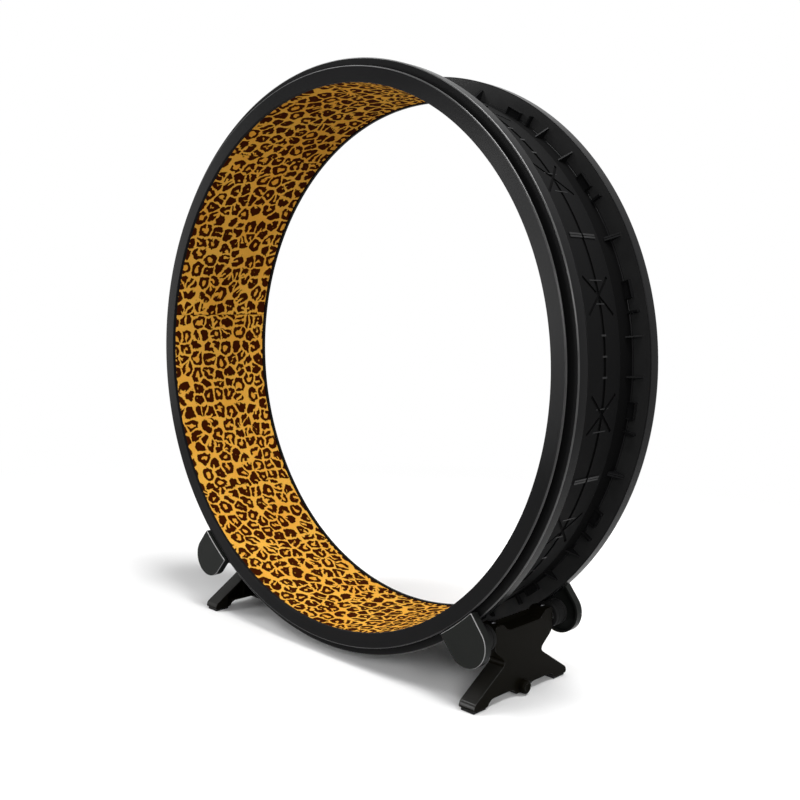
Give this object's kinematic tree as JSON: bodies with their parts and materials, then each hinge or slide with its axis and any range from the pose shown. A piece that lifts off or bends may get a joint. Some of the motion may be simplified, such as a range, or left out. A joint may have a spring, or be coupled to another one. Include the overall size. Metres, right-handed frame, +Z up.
{
  "type": "cat exercise wheel",
  "caption": "Open-ring cat exercise wheel with a leopard-print running mat, turning on covered rollers in two X-shaped floor stands.",
  "frame": {"origin": "on the floor, under the middle of the two stands, on the wheel's vertical middle line", "axes": "+X across the open ring from the left stand to the right one, -Y towards the front, +Z up; the ring turns about Y"},
  "size_m": [0.7998, 0.2064, 0.8122],
  "materials": {
    "ring_plastic": "satin charcoal moulded plastic",
    "stand_plastic": "satin black moulded plastic",
    "cover_plastic": "satin charcoal moulded plastic",
    "leopard_mat": "short-pile golden leopard print",
    "roller_plastic": "smooth grey plastic",
    "rubber": "matte black rubber",
    "steel": "plain turned steel"
  },
  "bodies": {
    "base": {"left_stand": "stand_plastic", "right_stand": "stand_plastic", "left_front_cover": "cover_plastic", "left_rear_cover": "cover_plastic", "right_front_cover": "cover_plastic", "right_rear_cover": "cover_plastic", "left_front_axle": "steel", "left_rear_axle": "steel", "right_front_axle": "steel", "right_rear_axle": "steel", "left_front_axle_screw": "steel", "left_rear_axle_screw": "steel", "right_front_axle_screw": "steel", "right_rear_axle_screw": "steel", "left_front_foot_pad": "rubber", "left_rear_foot_pad": "rubber", "right_front_foot_pad": "rubber", "right_rear_foot_pad": "rubber", "left_plug": "stand_plastic", "right_plug": "stand_plastic"},
    "wheel": {"front_rim_1": "ring_plastic", "front_rim_2": "ring_plastic", "front_rim_3": "ring_plastic", "front_rim_4": "ring_plastic", "front_rim_5": "ring_plastic", "front_rim_6": "ring_plastic", "front_rim_7": "ring_plastic", "front_rim_8": "ring_plastic", "rear_rim_1": "ring_plastic", "rear_rim_2": "ring_plastic", "rear_rim_3": "ring_plastic", "rear_rim_4": "ring_plastic", "rear_rim_5": "ring_plastic", "rear_rim_6": "ring_plastic", "rear_rim_7": "ring_plastic", "rear_rim_8": "ring_plastic", "running_mat_1": "leopard_mat", "running_mat_2": "leopard_mat", "running_mat_3": "leopard_mat", "running_mat_4": "leopard_mat", "running_mat_5": "leopard_mat", "running_mat_6": "leopard_mat", "running_mat_7": "leopard_mat", "running_mat_8": "leopard_mat"},
    "left_front_roller_unit": {"left_front_roller": "roller_plastic", "left_front_outer_bearing": "steel", "left_front_inner_bearing": "steel"},
    "left_rear_roller_unit": {"left_rear_roller": "roller_plastic", "left_rear_outer_bearing": "steel", "left_rear_inner_bearing": "steel"},
    "right_front_roller_unit": {"right_front_roller": "roller_plastic", "right_front_outer_bearing": "steel", "right_front_inner_bearing": "steel"},
    "right_rear_roller_unit": {"right_rear_roller": "roller_plastic", "right_rear_outer_bearing": "steel", "right_rear_inner_bearing": "steel"}
  },
  "joints": [
    {"name": "wheel_spin", "type": "hinge", "parent": "base", "child": "wheel", "pos_m": [0, -0.004, 0.4123], "axis": [0, 1, 0], "continuous": true},
    {"name": "left_front_roller_spin", "type": "hinge", "parent": "base", "child": "left_front_roller_unit", "pos_m": [-0.26331, -0.0755, 0.0883], "axis": [0, 1, 0], "continuous": true},
    {"name": "left_rear_roller_spin", "type": "hinge", "parent": "base", "child": "left_rear_roller_unit", "pos_m": [-0.26331, 0.0755, 0.0883], "axis": [0, 1, 0], "continuous": true},
    {"name": "right_front_roller_spin", "type": "hinge", "parent": "base", "child": "right_front_roller_unit", "pos_m": [0.26331, -0.0755, 0.0883], "axis": [0, 1, 0], "continuous": true},
    {"name": "right_rear_roller_spin", "type": "hinge", "parent": "base", "child": "right_rear_roller_unit", "pos_m": [0.26331, 0.0755, 0.0883], "axis": [0, 1, 0], "continuous": true}
  ],
  "couplings": [
    {"joint": "left_front_roller_spin", "follows": "wheel_spin", "ratio": -23.256},
    {"joint": "left_rear_roller_spin", "follows": "wheel_spin", "ratio": -23.256},
    {"joint": "right_front_roller_spin", "follows": "wheel_spin", "ratio": -23.256},
    {"joint": "right_rear_roller_spin", "follows": "wheel_spin", "ratio": -23.256}
  ]
}
